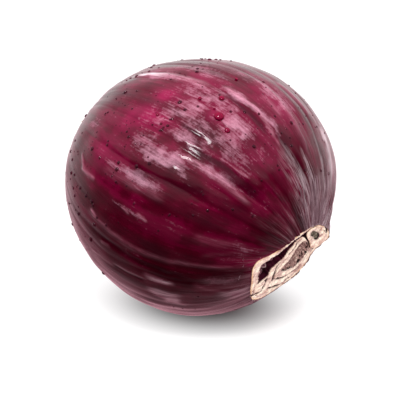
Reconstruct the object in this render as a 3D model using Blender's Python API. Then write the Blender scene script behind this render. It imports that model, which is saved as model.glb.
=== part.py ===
"""A red onion lying on its side: one grown bulb, its neck cut off flat, resting on a small flat spot.

The bulb is first made upright, its axis along Z with the neck at the top, as closed rings of points that
climb from the root plate, over the ribbed skin, to the cut neck. It is then laid down and its lowest skin
is flattened where it rests. Everything is in metres, and the angles at the top are in degrees.
"""

import math

import bmesh
import bpy
from mathutils import Matrix, Vector

# The bulb, measured from its centre and across its axis
BULB_ACROSS = 0.0868  # its widest, level once it lies down
BULB_THICK = 0.0766  # up and down once it lies down
ROOT_REACH = 0.0424  # from the centre to the root end, along the axis
NECK_REACH = 0.0376  # from the centre to where the neck would close, along the axis

# How it lies
AXIS_DIP = 20.0  # the axis slopes down this far, from the root end to the neck
REST_FLAT_RISE = 0.0006  # how much skin the resting spot flattens, up from the lowest point

# The skin's ribs: the width of each one round the axis, unevenly spaced as they grow
FIRST_GROOVE = 154.5
RIB_WIDTHS = (11, 9, 12, 10, 19, 11.5, 10.5, 8.5, 10.5, 14, 11, 7, 6.5, 6.5, 6, 7,
              9, 12, 10, 13, 8, 11, 14, 9, 12, 10, 8, 13, 11, 9, 12, 10, 14, 7, 8)  # fmt: skip
COLUMNS_PER_RIB = 3  # one in the groove and the others over the rib's back
GROOVE_DEPTH = 0.0006  # on a rib of the usual width
USUAL_RIB_WIDTH = 11.0
SKIN_ROWS = 22  # rings of skin between the root plate and the neck
ROOT_FADE = 35.0  # the ribs die out over this angle, towards the root plate
NECK_FADE = 40.0  # and over this angle they come up from half depth, away from the neck

# The cut neck: a plane that leans away from the axis, and the leaf bases that it cuts across
CUT_DIP = 29.0  # the cut's outward normal slopes down this far
CUT_TURN = 7.0  # and is turned this far from the axis, towards -Y
CUT_DISTANCE = 0.0348  # from the bulb's centre, along that normal
OUTER_SCALE_WALL = 0.0024  # thickness of the outermost fleshy scale at the cut
GAP_WIDTH = 0.0024  # between that scale and the bundle of inner ones
GAP_DEPTH = 0.0040
GAP_TAPER = 0.0002  # each wall of the gap leans in by this much
INNER_SCALE_WALL = 0.0022  # the bundle's own outer scale
BUNDLE_RISE = 0.0008  # the bundle stands above the cut by this much
BUNDLE_DOWN = 0.0012  # it lies against the lower side of the neck
BUNDLE_ACROSS = 0.0008  # and towards +Y
HEART_DROP = 0.0014  # the dried heart of the bundle, below its rim

# The root plate: a low corky disc in a shallow dimple
PLATE_RADIUS = 0.0065
PLATE_RISE = 0.0011
PLATE_EDGE = 0.0005  # the plate's edge slopes in by this much
DIMPLE_DEPTH = 0.0014
DIMPLE_RADIUS = 0.0110

SKIN_COLOUR = (0.130, 0.004, 0.030, 1.0)
SMOOTH_ANGLE = 35.0


def smooth_step(t):
    t = min(1.0, max(0.0, t))
    return t * t * (3 - 2 * t)


def skin_columns():
    """(longitude in radians, groove depth there) for each column of points round the bulb."""
    columns = []
    longitude = FIRST_GROOVE
    for width in RIB_WIDTHS:
        for step in range(COLUMNS_PER_RIB):
            share = step / COLUMNS_PER_RIB
            sunk = GROOVE_DEPTH * math.sqrt(width / USUAL_RIB_WIDTH) * (1 - math.sin(math.pi * share))
            columns.append((math.radians(longitude + width * share), sunk))
        longitude += width
    return columns


def skin_point(polar, longitude, sunk):
    """A point of the skin. The polar angle is 0 at the neck end of the axis and 180 degrees at the root."""
    reach = NECK_REACH if polar < math.pi / 2 else ROOT_REACH
    point = Vector((
        BULB_THICK / 2 * math.sin(polar) * math.cos(longitude),
        BULB_ACROSS / 2 * math.sin(polar) * math.sin(longitude),
        reach * math.cos(polar),
    ))
    ribbed = smooth_step((math.pi - polar) / math.radians(ROOT_FADE))
    ribbed *= 0.5 + 0.5 * smooth_step(polar / math.radians(NECK_FADE))
    point -= point.normalized() * sunk * ribbed
    if polar > math.pi / 2:
        off_axis = math.hypot(point.x, point.y)
        point.z += DIMPLE_DEPTH * math.exp(-((off_axis / DIMPLE_RADIUS) ** 2))
    return point


def laying_turn():
    """The turn that lays the upright bulb on its side, its neck towards +X and a little down."""
    return Matrix.Rotation(math.radians(90.0 + AXIS_DIP), 4, "Y")


def cut_normal():
    """The outward normal of the neck cut, on the upright bulb."""
    dip = math.radians(CUT_DIP)
    turn = math.radians(CUT_TURN)
    lying = Vector((math.cos(dip) * math.cos(turn), -math.cos(dip) * math.sin(turn), -math.sin(dip)))
    return laying_turn().inverted() @ lying


def rim_polar(longitude, sunk, normal):
    """The polar angle at which the skin of one column meets the neck cut, found by halving."""
    low, high = 0.0, math.pi / 2
    for _ in range(40):
        middle = (low + high) / 2
        if skin_point(middle, longitude, sunk).dot(normal) > CUT_DISTANCE:
            low = middle
        else:
            high = middle
    return high


def skin_rings():
    """Rings of skin from the root plate's foot to the rim of the neck cut."""
    columns = skin_columns()
    normal = cut_normal()
    foot = math.pi - math.asin(PLATE_RADIUS / (BULB_ACROSS / 2))
    rims = [rim_polar(longitude, sunk, normal) for longitude, sunk in columns]
    rings = []
    for row in range(SKIN_ROWS + 1):
        share = row / SKIN_ROWS
        rings.append([
            skin_point(foot + (rim - foot) * share, longitude, sunk)
            for rim, (longitude, sunk) in zip(rims, columns)
        ])
    return rings


def middle_of(ring):
    return sum(ring, Vector()) / len(ring)


def smooth_rim():
    """The rim of the neck cut without its ribs, from which the inner leaf bases are stepped in."""
    normal = cut_normal()
    middling = GROOVE_DEPTH / 2
    return [
        skin_point(rim_polar(longitude, middling, normal), longitude, middling)
        for longitude, _ in skin_columns()
    ]


def stepped_in(ring, distance, rise=0.0, shift=(0.0, 0.0, 0.0)):
    """A ring inside another one: each point moves towards the middle, then up the cut's normal."""
    middle = middle_of(ring)
    offset = cut_normal() * rise + Vector(shift)
    return [point + (middle - point).normalized() * distance + offset for point in ring]


def neck_rings():
    """Rings across the cut neck, from inside the outer scale to the dried heart of the bundle."""
    outer = stepped_in(smooth_rim(), OUTER_SCALE_WALL)
    gap_outer = stepped_in(outer, GAP_TAPER, -GAP_DEPTH)
    aside = (BUNDLE_DOWN, BUNDLE_ACROSS, 0.0)
    gap_inner = stepped_in(gap_outer, GAP_WIDTH - 2 * GAP_TAPER, 0.0, aside)
    bundle = stepped_in(gap_inner, GAP_TAPER, GAP_DEPTH + BUNDLE_RISE)
    bundle_in = stepped_in(bundle, INNER_SCALE_WALL)
    heart = stepped_in(bundle_in, GAP_TAPER, -HEART_DROP)
    return [outer, gap_outer, gap_inner, bundle, bundle_in, heart]


def root_plate(foot):
    """The edge of the root plate's flat face, raised from the ring of skin at its foot."""
    level = middle_of(foot).z - PLATE_RISE
    edge = []
    for point in foot:
        outwards = Vector((point.x, point.y, 0.0))
        edge.append(outwards - outwards.normalized() * PLATE_EDGE + Vector((0.0, 0.0, level)))
    return edge


def add_rings(shape, rings):
    """Joins closed rings of equally many points into a tube, and caps each end with a fan."""
    rows = [[shape.verts.new(point) for point in ring] for ring in rings]
    count = len(rows[0])
    for lower, upper in zip(rows, rows[1:]):
        for i in range(count):
            j = (i + 1) % count
            shape.faces.new((lower[i], lower[j], upper[j], upper[i]))
    for row, ring in ((rows[0], rings[0]), (rows[-1], rings[-1])):
        tip = shape.verts.new(middle_of(ring))
        for i in range(count):
            shape.faces.new((row[i], row[(i + 1) % count], tip))
    bmesh.ops.recalc_face_normals(shape, faces=shape.faces[:])


def lay_down(shape):
    """Turns the upright bulb onto its side and flattens its lowest skin, with the origin in the flat."""
    bmesh.ops.transform(shape, matrix=laying_turn(), verts=shape.verts[:])
    floor = min(v.co.z for v in shape.verts) + REST_FLAT_RISE
    cut = bmesh.ops.bisect_plane(
        shape,
        geom=shape.verts[:] + shape.edges[:] + shape.faces[:],
        plane_co=(0.0, 0.0, floor),
        plane_no=(0.0, 0.0, 1.0),
        clear_inner=True,
    )
    edges = [e for e in cut["geom_cut"] if isinstance(e, bmesh.types.BMEdge)]
    flat = bmesh.ops.contextual_create(shape, geom=edges)["faces"]
    bmesh.ops.recalc_face_normals(shape, faces=shape.faces[:])
    spot = flat[0].calc_center_median_weighted()
    bmesh.ops.translate(shape, vec=-spot, verts=shape.verts[:])


def skin_material():
    material = bpy.data.materials.new("red_onion_skin")
    material.use_nodes = True
    surface = material.node_tree.nodes["Principled BSDF"]
    surface.inputs["Base Color"].default_value = SKIN_COLOUR
    surface.inputs["Roughness"].default_value = 0.35
    surface.inputs["Metallic"].default_value = 0.0
    return material


def make_bulb():
    skin = skin_rings()
    shape = bmesh.new()
    add_rings(shape, [root_plate(skin[0])] + skin + neck_rings())
    lay_down(shape)
    mesh = bpy.data.meshes.new("bulb")
    shape.to_mesh(mesh)
    shape.free()
    mesh.shade_smooth()
    mesh.set_sharp_from_angle(angle=math.radians(SMOOTH_ANGLE))
    mesh.materials.append(skin_material())
    bulb = bpy.data.objects.new("bulb", mesh)
    bpy.context.scene.collection.objects.link(bulb)
    return bulb


def main():
    for old in list(bpy.data.objects):
        bpy.data.objects.remove(old)
    make_bulb()


main()
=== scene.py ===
# %% [markdown]
# # A wet red onion with its neck cut off
# The bulb lies on its side. What shows is its outermost fleshy scale, ribbed from the root plate to the
# neck and still wet, with drops standing on it. At the neck the knife has cut across the leaf bases, and
# at the other end is the corky root plate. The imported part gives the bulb's size and place, and everything
# here is worked out from it.

import math

import bmesh
import bpy
import numpy as np
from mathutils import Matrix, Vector


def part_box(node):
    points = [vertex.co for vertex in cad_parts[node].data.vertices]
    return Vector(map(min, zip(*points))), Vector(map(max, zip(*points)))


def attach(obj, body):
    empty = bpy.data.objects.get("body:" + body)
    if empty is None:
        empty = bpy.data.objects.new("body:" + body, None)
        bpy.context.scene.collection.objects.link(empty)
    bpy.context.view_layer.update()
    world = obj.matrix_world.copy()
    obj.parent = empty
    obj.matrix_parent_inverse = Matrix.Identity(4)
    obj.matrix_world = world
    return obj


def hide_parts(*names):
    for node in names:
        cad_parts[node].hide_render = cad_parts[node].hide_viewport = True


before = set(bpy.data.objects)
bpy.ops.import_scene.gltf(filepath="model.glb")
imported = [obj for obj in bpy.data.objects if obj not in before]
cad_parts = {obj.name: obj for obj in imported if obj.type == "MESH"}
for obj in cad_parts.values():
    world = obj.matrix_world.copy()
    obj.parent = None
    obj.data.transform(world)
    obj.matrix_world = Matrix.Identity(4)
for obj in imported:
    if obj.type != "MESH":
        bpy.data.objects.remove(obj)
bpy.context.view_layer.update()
low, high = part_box("bulb")
MM = 0.001
print("the bulb is", [round(side / MM, 1) for side in high - low], "mm along X, Y and Z")

# %% [markdown]
# ## Helpers for colours, nodes and meshes
# Colours are written as sRGB hex, as a paint chart gives them, and turned to the linear values that
# shaders use in one place. One function adds a node, sets its own properties and fills or links its
# inputs. Others turn grids and lines of points into meshes, because most pieces of an onion are rings of
# points about an axis, or threads.


# %% Small helpers
def linear(hex_colour):
    """An sRGB hex colour as linear red, green, blue and alpha."""
    parts = [int(hex_colour[i : i + 2], 16) / 255 for i in (1, 3, 5)]
    return (*(p / 12.92 if p <= 0.04045 else ((p + 0.055) / 1.055) ** 2.4 for p in parts), 1.0)


def add_node(tree, kind, inputs=None, take=None, stops=(), **settings):
    """Adds a node with its settings. Each input takes a value, or another node's output socket.

    A colour ramp takes its stops as well, the two ends first. Gives back the node, or the output that take
    names.
    """
    node = tree.nodes.new(kind)
    for name, value in settings.items():
        setattr(node, name, value)
    for number, (position, colour) in enumerate(stops):
        elements = node.color_ramp.elements
        stop = elements[number] if number < 2 else elements.new(position)
        stop.position, stop.color = position, linear(colour)
    for socket, value in (inputs or {}).items():
        if isinstance(value, bpy.types.NodeSocket):
            tree.links.new(value, node.inputs[socket])
        else:
            node.inputs[socket].default_value = value
    return node if take is None else node.outputs[take]


def blank_material(name):
    """A material with no nodes yet, and its tree."""
    material = bpy.data.materials.new(name)
    material.use_nodes = True
    material.node_tree.nodes.clear()
    return material, material.node_tree


def new_object(name, mesh, smooth=True):
    piece = bpy.data.objects.new(name, mesh)
    bpy.context.scene.collection.objects.link(piece)
    if smooth:
        mesh.shade_smooth()
    return piece


def rings_mesh(name, rings, wrapped=False):
    """A mesh of closed rings of equally many points, joined in order.

    The first and last rings are closed at a pole point, or joined to each other if wrapped.
    """
    rows, count = rings.shape[0], rings.shape[1]
    points = rings.reshape(-1, 3)
    here = np.arange(rows * count).reshape(rows, count)
    beside = np.roll(here, -1, axis=1)
    above, above_beside = np.roll(here, -1, axis=0), np.roll(beside, -1, axis=0)
    faces = np.stack([here, beside, above_beside, above], -1)
    faces = (faces if wrapped else faces[:-1]).reshape(-1, 4).tolist()
    if not wrapped:
        for row in (0, rows - 1):
            tip = len(points)
            points = np.concatenate([points, rings[row].mean(axis=0)[None]])
            faces += [(int(here[row, i]), int(beside[row, i]), tip) for i in range(count)]
    mesh = bpy.data.meshes.new(name)
    mesh.from_pydata(points.tolist(), [], faces)
    shape = bmesh.new()
    shape.from_mesh(mesh)
    bmesh.ops.recalc_face_normals(shape, faces=shape.faces[:])
    shape.to_mesh(mesh)
    shape.free()
    return mesh


def band_mesh(name, rings, flip=False):
    """A mesh of closed rings joined in order and left open at both ends."""
    index = np.arange(rings.shape[0] * rings.shape[1]).reshape(rings.shape[:2])
    beside = np.roll(index, -1, axis=1)
    quads = np.stack([index[:-1], beside[:-1], beside[1:], index[1:]], -1).reshape(-1, 4)
    mesh = bpy.data.meshes.new(name)
    mesh.from_pydata(rings.reshape(-1, 3).tolist(), [], (quads[:, ::-1] if flip else quads).tolist())
    return mesh


def lines_mesh(name, lines):
    """A mesh of edges only, from separate lines of points."""
    starts = np.cumsum([0] + [len(line) for line in lines])
    joins = [(k, k + 1) for first, after in zip(starts, starts[1:]) for k in range(first, after - 1)]
    mesh = bpy.data.meshes.new(name)
    mesh.from_pydata(np.concatenate(lines).tolist(), joins, [])
    return mesh


def keep_values(mesh, name, values):
    """Stores one number for each point of a mesh, under a name that nodes can read."""
    values = np.asarray(values, np.float32).ravel()
    mesh.attributes.new(name, "FLOAT", "POINT").data.foreach_set("value", values)


def triangles(mesh):
    return sum(len(p.vertices) - 2 for p in mesh.polygons)


def angle_off(angle, middle):
    """How far an angle lies from another, from -180 to 180 degrees."""
    return np.mod(angle - middle + 180, 360) - 180


def smooth_step(t):
    t = np.clip(t, 0.0, 1.0)
    return t * t * (3 - 2 * t)


print("helpers are ready")

# %% [markdown]
# ## Helpers for Geometry Nodes
# What repeats or follows the skin is grown by Geometry Nodes: the drops, the dry fibres, the folds of the
# neck's dead heart and the root stubs. Each group has a named input for every size, which is set before
# the group first runs. Its result is kept as a plain mesh, so that nothing depends on the group later.


# %% Growing with Geometry Nodes
def start_group(name, sizes):
    """An empty group with geometry in and out and a named input for each size, by socket kind."""
    group = bpy.data.node_groups.new(name, "GeometryNodeTree")
    group.interface.new_socket("Geometry", in_out="INPUT", socket_type="NodeSocketGeometry")
    group.interface.new_socket("Geometry", in_out="OUTPUT", socket_type="NodeSocketGeometry")
    for label, kind in sizes.items():
        group.interface.new_socket(label, in_out="INPUT", socket_type="NodeSocket" + kind)
    return group, group.nodes.new("NodeGroupInput").outputs


def finish_group(group, given, geometry):
    real = add_node(group, "GeometryNodeRealizeInstances", {0: geometry})
    finish = add_node(group, "GeometryNodeSetMaterial", {0: real.outputs[0], "Material": given["Material"]})
    add_node(group, "NodeGroupOutput", {0: finish.outputs[0]})


def pushed_about(group, given, amount, scale, detail):
    """The group's lines as curves, their points pushed about by noise as far as the named input says."""
    path = add_node(group, "GeometryNodeMeshToCurve", {0: given["Geometry"]}, 0)
    spot = add_node(group, "GeometryNodeInputPosition", take=0)
    waves = {"Vector": spot, "Scale": scale, "Detail": detail, "W": given["Seed"]}
    shift = add_node(group, "ShaderNodeTexNoise", waves, "Color", noise_dimensions="4D")
    centred = add_node(group, "ShaderNodeVectorMath", {0: shift, 1: (0.5, 0.5, 0.5)}, 0, operation="SUBTRACT")
    moved = add_node(group, "ShaderNodeVectorMath", {0: centred, "Scale": given[amount]}, 0, operation="SCALE")
    return add_node(group, "GeometryNodeSetPosition", {0: path, "Offset": moved}, 0)


def grow(name, group, base_mesh, values):
    """Runs a group on a base mesh and keeps what it makes as a plain mesh."""
    piece = new_object(name, base_mesh, smooth=False)
    modifier = piece.modifiers.new("grow", "NODES")
    modifier.node_group = group
    for item in group.interface.items_tree:
        if item.in_out == "INPUT" and item.name in values:
            modifier[item.identifier] = values[item.name]
    bpy.context.view_layer.update()
    made = bpy.data.meshes.new_from_object(piece.evaluated_get(bpy.context.evaluated_depsgraph_get()))
    piece.modifiers.remove(modifier)
    piece.data = made
    made.name = name
    print(name, "has", triangles(made), "triangles")
    return piece


print("Geometry Nodes helpers are ready")

# %% [markdown]
# ## The bulb's form
# A bulb is a squashed ball about its own axis, and this one lies with that axis sloping down towards the
# neck. Points on it are named as on a globe: the latitude is 90 degrees at the neck end and -90 at the
# root, and longitude 0 is the side that faces the front. The sizes repeat the part's own. Where the bulb
# sits is worked out from the part's box: an ellipsoid's reach in any direction is known exactly.

# %% The form and where it sits
BULB_ACROSS = 0.0868
BULB_THICK = 0.0766
ROOT_REACH = 0.0424
NECK_REACH = 0.0376
AXIS_DIP = math.radians(20.0)
FRONT = 238.5  # the front's turn about the axis, from straight down

AXIS = np.array([math.cos(AXIS_DIP), 0.0, -math.sin(AXIS_DIP)])
DOWNWARD = np.array([-math.sin(AXIS_DIP), 0.0, -math.cos(AXIS_DIP)])
ACROSS = np.array([0.0, 1.0, 0.0])
BULB_CENTRE = np.array([
    low.x + math.hypot(ROOT_REACH * math.cos(AXIS_DIP), BULB_THICK / 2 * math.sin(AXIS_DIP)),
    (low.y + high.y) / 2,
    high.z - math.hypot(BULB_THICK / 2 * math.cos(AXIS_DIP), ROOT_REACH * math.sin(AXIS_DIP)),
])
FLOOR = -BULB_CENTRE[2]  # the resting spot's height, seen from the bulb's centre


def plain_bulb(latitude, longitude):
    """Points of the smooth bulb, seen from its centre. Both angles are in degrees."""
    lat = np.radians(latitude)
    turn = np.radians(longitude + FRONT)
    reach = np.where(lat > 0, NECK_REACH, ROOT_REACH)
    out = np.cos(lat)
    return (
        (BULB_THICK / 2 * out * np.cos(turn))[..., None] * DOWNWARD
        + (BULB_ACROSS / 2 * out * np.sin(turn))[..., None] * ACROSS
        + (reach * np.sin(lat))[..., None] * AXIS
    )


print("the bulb's centre is at", [round(float(v) / MM, 2) for v in BULB_CENTRE], "mm")

# %% [markdown]
# ## The camera
# It stands half a metre away, a little above the onion and to its right, with a long lens, as product
# pictures are taken. It aims a little beside the bulb's centre, which leaves room for the shadow.

# %% Camera
CAMERA_TURN = math.radians(31.0)
CAMERA_RISE = math.radians(20.0)
CAMERA_DISTANCE = 0.5
CAMERA_LENS = 148.5
camera_back = Vector((
    math.sin(CAMERA_TURN) * math.cos(CAMERA_RISE),
    -math.cos(CAMERA_TURN) * math.cos(CAMERA_RISE),
    math.sin(CAMERA_RISE),
))
camera_right = Vector((math.cos(CAMERA_TURN), math.sin(CAMERA_TURN), 0.0))
camera_up = camera_back.cross(camera_right)
AIM_LEFT = 0.0020
AIM_BELOW = 0.0039
aim = Vector(BULB_CENTRE) - camera_right * AIM_LEFT - camera_up * AIM_BELOW
camera = bpy.data.objects.new("camera", bpy.data.cameras.new("camera"))
bpy.context.scene.collection.objects.link(camera)
camera.location = aim + camera_back * CAMERA_DISTANCE
camera.rotation_euler = camera_back.to_track_quat("Z", "Y").to_euler()
camera.data.lens = CAMERA_LENS
bpy.context.scene.camera = camera
print("the camera is at", [round(v, 3) for v in camera.location])

# %% [markdown]
# ## The neck cut
# The knife went through the neck at a slant, and by hand: the rim isn't an even oval. The cut is a plane
# with its own two directions, one level and one upward, and a drawn outline on it in millimetres. Where
# the plain bulb would meet the plane, its skin is drawn in or let out to reach that outline, over the last
# stretch before the neck. So the neck gets its hollow shoulders as well.

# %% The plane of the cut
CUT_DIP = math.radians(29.0)
CUT_TURN = math.radians(7.0)
CUT_DISTANCE = 0.0348
CUT_NORMAL = np.array([
    math.cos(CUT_DIP) * math.cos(CUT_TURN),
    -math.cos(CUT_DIP) * math.sin(CUT_TURN),
    -math.sin(CUT_DIP),
])
CUT_LEVEL = np.cross([0.0, 0.0, 1.0], CUT_NORMAL)
CUT_LEVEL /= np.linalg.norm(CUT_LEVEL)
CUT_UPWARD = np.cross(CUT_NORMAL, CUT_LEVEL)
squares = np.stack([DOWNWARD, ACROSS, AXIS])
spread = squares.T @ np.diag([(BULB_THICK / 2) ** 2, (BULB_ACROSS / 2) ** 2, NECK_REACH**2]) @ squares
CUT_MIDDLE = CUT_DISTANCE * spread @ CUT_NORMAL / (CUT_NORMAL @ spread @ CUT_NORMAL)


def on_cut(points):
    """Points of the cut, seen from the bulb's centre, from millimetres level, upward and outward."""
    points = np.asarray(points, float) * MM
    return CUT_MIDDLE + points @ np.stack([CUT_LEVEL, CUT_UPWARD, CUT_NORMAL])


def closed_curve(points, count):
    """A smooth closed curve through the points, as count points evenly spaced by angle about its middle."""
    points = np.array(points, float)
    total = len(points)
    along = np.arange(total * 40) / 40
    i = along.astype(int)
    f = (along - i)[:, None]
    a, b, c, d = (points[(i + k) % total] for k in (-1, 0, 1, 2))
    curve = 0.5 * (2 * b + (c - a) * f + (2 * a - 5 * b + 4 * c - d) * f**2 + (3 * b - a - 3 * c + d) * f**3)
    middle = points.mean(axis=0)
    angles = np.arctan2(curve[:, 1] - middle[1], curve[:, 0] - middle[0])
    order = np.argsort(angles)
    wanted = np.arange(count) / count * 2 * math.pi - math.pi
    columns = [np.interp(wanted, angles[order], curve[order, k], period=2 * math.pi) for k in range(3)]
    return np.stack(columns, -1)


print("the cut's middle is", [round(float(v) / MM, 1) for v in CUT_MIDDLE], "mm from the bulb's centre")

# %% The rim's outline
# Level, upward and out of the plane, in millimetres
RIM = [
    (19.6, 3.6, 0.6), (17.4, 7.2, 0.2), (12.8, 10.6, 0.2), (7.4, 13.2, 0.1), (2.0, 13.9, 0.0),
    (-3.2, 12.5, 0.0), (-8.0, 10.6, 0.0), (-13.6, 9.0, -0.3), (-18.6, 8.0, -0.8), (-19.4, 5.0, -0.5),
    (-16.8, 0.0, -0.2), (-13.4, -6.2, 0.0), (-8.6, -11.8, 0.0), (-2.6, -13.8, 0.0), (2.8, -13.3, 0.0),
    (8.6, -12.0, 0.0), (13.2, -9.9, 0.0), (15.6, -5.9, 0.0), (15.4, -2.0, 0.0), (17.8, 1.2, 0.3),
]  # fmt: skip


def rim_reach(angle):
    """The drawn rim's distance from the cut's middle and its height, in metres, by angle on the plane."""
    dense = closed_curve(RIM, 720)
    angles = np.arctan2(dense[:, 1], dense[:, 0])
    order = np.argsort(angles)
    reach = np.hypot(dense[:, 0], dense[:, 1])[order] * MM
    height = dense[order, 2] * MM
    return (
        np.interp(angle, angles[order], reach, period=2 * math.pi),
        np.interp(angle, angles[order], height, period=2 * math.pi),
    )


print("the rim is drawn through", len(RIM), "points")

# %% [markdown]
# ## Ribs, creases and wrinkles
# The ribs are the veins and folds of the leaf base that this scale once was, so they run from the root to
# the neck and are never evenly spaced. Each groove is drawn by the longitude it starts at low down, the
# one it reaches near the neck, and a depth. Between two grooves the skin swells in a low arch. Single
# creases, where the skin has dried or been pressed, are drawn one by one: raised ones are paler, with bloom
# and painted highlight, and sunken ones are painted darker as shade. Finer wrinkles follow the ribs: they
# are smooth noise that is stretched along the bulb.

# %% Ribs
GROOVES = [
    (-84, -84, 0.40), (-74, -73, 0.35), (-65, -64, 0.35), (-55, -53, 0.30), (-44, -43, 0.45),
    (-37, -35, 0.25), (-27, -25, 0.30), (-19, -20, 0.30), (-12, -10, 0.50), (-3, -3, 0.30),
    (6, 4, 0.50), (18, 15, 0.30), (30, 27, 0.30), (43.5, 38, 0.55), (50, 46, 0.40), (57, 54, 0.40),
    (63.5, 61, 0.35), (69, 68, 0.40), (76, 75, 0.35), (85, 85, 0.30), (97, 96, 0.45), (107, 107, 0.30),
    (120, 121, 0.40), (128, 128, 0.25), (139, 140, 0.45), (153, 152, 0.35), (162, 162, 0.30),
    (174, 173, 0.45), (184, 184, 0.30), (192, 193, 0.40), (205, 204, 0.35), (216, 216, 0.40),
    (225, 225, 0.25), (237, 238, 0.45), (247, 246, 0.30), (261, 261, 0.45), (268, 268, 0.30),
]  # fmt: skip
LOW_END = -30.0
HIGH_END = 45.0


def soft_noise(longitude, latitude, per_turn, per_side, seed):
    """Smooth noise between -1 and 1 with per_turn cells round the bulb and per_side cells from end to end."""
    grid = np.random.default_rng(seed).uniform(-1, 1, (per_side + 2, per_turn))
    x = np.mod(longitude, 360.0) / 360.0 * per_turn
    y = np.clip((latitude + 90.0) / 180.0, 0, 0.9999) * per_side
    i, j = np.floor(x).astype(int), np.floor(y).astype(int)
    fx, fy = smooth_step(x - i), smooth_step(y - j)
    near, far = i % per_turn, (i + 1) % per_turn
    bottom = grid[j, near] * (1 - fx) + grid[j, far] * fx
    top = grid[j + 1, near] * (1 - fx) + grid[j + 1, far] * fx
    return bottom * (1 - fy) + top * fy


def rib_arch(longitude, latitude):
    """How far up its rib each place is, from 0 in a groove to 1 on the crest, and that rib's depth."""
    share = np.clip((latitude - LOW_END) / (HIGH_END - LOW_END), 0, 1)
    wander = soft_noise(longitude, latitude, 24, 9, 3)
    around = np.mod(longitude + wander + 84.0, 360.0) - 84.0
    ends = GROOVES + [(GROOVES[0][0] + 360.0, GROOVES[0][1] + 360.0, GROOVES[0][2])]
    arch, depth = np.ones_like(around), np.full_like(around, 0.4)
    for (low_a, high_a, deep_a), (low_b, high_b, deep_b) in zip(ends, ends[1:]):
        left = low_a + (high_a - low_a) * share
        right = low_b + (high_b - low_b) * share
        across = (around - left) / (right - left)
        inside = (across >= 0) & (across < 1)
        arch = np.where(inside, np.sin(math.pi * np.clip(across, 0, 1)) ** 0.8, arch)
        depth = np.where(inside, deep_a * (1 - across) + deep_b * across, depth)
    return arch, depth


print(len(GROOVES), "grooves, the narrowest rib is", min(b[0] - a[0] for a, b in zip(GROOVES, GROOVES[1:])), "degrees")

# %% Creases
# From longitude and latitude, to longitude and latitude, width in degrees, rise in mm, and paleness:
# above zero bloom and painted highlight, below zero painted shade in the groove
CREASES = [
    (-40, -44, -42, -8, 2.2, 0.25, 0.7), (-46, -2, -46, 16, 1.3, 0.25, 0.9), (-46, 16, -42, 34, 1.1, 0.22, 0.8),
    (-74, 8, -77, 28, 1.6, 0.25, 0.8), (-86, 35, -94, 60, 3.0, 0.20, 1.0), (-14, 4, -17, 34, 0.9, 0.14, 0.9),
    (-9, 8, -7, 40, 1.3, 0.12, 0.8), (-55, 12, -55, 24, 1.2, 0.10, 0.5), (-63, 5, -58, 44, 1.2, 0.12, 0.5),
    (14, -20, 11, 8, 1.6, 0.08, 0.3), (36, -20, 38, 5, 1.4, 0.14, 0.5), (38, 5, 34, 50, 1.1, 0.15, 0.5),
    (49, 12, 50.5, 25, 1.2, 0.12, 0.9), (58, 14, 67, 30, 2.0, 0.12, 0.6), (21, 28, 18, 50, 1.8, 0.06, 0.25),
    (29, 34, 20, 54, 1.5, 0.05, 0.15), (72, 10, 74, 40, 2.0, 0.12, 0.5), (49, 34, 60, 54, 1.6, 0.08, 0.5),
    (-80, -50, -82, 0, 2.0, 0.12, 0.5), (17, -39, 22, -32, 0.9, 0.20, 0.9), (22, -34, 21, -24, 0.9, 0.20, 1.0),
    (34, -20, 36, -16, 0.8, 0.22, 1.0), (45, -11, 44, -6, 0.8, 0.20, 0.9), (55, -13, 57, -17, 0.8, 0.22, 0.9),
    (57, -17, 66, -22, 0.9, 0.22, 0.9), (22, 1, 23, 6, 0.6, 0.14, 1.0), (23, -6, 24, -2, 0.6, 0.14, 0.9),
    (-43, 1, -41, 26, 1.6, -0.25, -0.9), (-44, 30, -46, 50, 2.4, -0.25, -0.9), (-46, 50, -39, 66, 2.0, -0.25, -0.9),
    (-14, 5, -13, 42, 3.2, -0.20, -1.1), (7, -9, 1, 22, 2.2, -0.12, -0.8), (-19, -3, -19, 8, 1.0, -0.22, -1.0),
    (42, -24, 44, 30, 1.6, -0.15, -0.8), (54, -3, 53, 12, 1.0, -0.22, -1.0), (68, -10, 69, 34, 1.6, -0.10, -0.5),
]  # fmt: skip


def creases(longitude, latitude):
    """The drawn creases' rise in millimetres and their paleness, at each place: bloom with painted highlight where
    pale, painted shade where dark.
    """
    rise, pale = np.zeros_like(latitude), np.zeros_like(latitude)
    for lon_a, lat_a, lon_b, lat_b, width, height, shade in CREASES:
        share = (latitude - lat_a) / (lat_b - lat_a)
        line = lon_a + (lon_b - lon_a) * np.clip(share, 0, 1)
        off = angle_off(longitude, line)
        off = off + 0.35 * width * soft_noise(longitude, latitude, 30, 50, 21)
        fade = smooth_step(share * 5 + 0.5) * smooth_step((1 - share) * 5 + 0.5)
        mark = np.exp(-((off / width) ** 2)) * fade
        rise += height * mark
        pale += shade * mark
    return rise, pale


RIB_HEIGHT = 0.45  # from a usual groove to the crest, in millimetres
# Wrinkles: height in millimetres, cells round the bulb, cells from end to end, and seed
WRINKLES = [(0.035, 150, 12, 7), (0.02, 330, 18, 8), (0.14, 36, 22, 9)]
PLEATS = [(0.30, 84, 8, 10), (0.10, 230, 10, 11)]  # the same, only near the neck


def wrinkles_at(sizes, longitude, latitude):
    return sum(height * soft_noise(longitude, latitude, *cells) for height, *cells in sizes)


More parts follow.
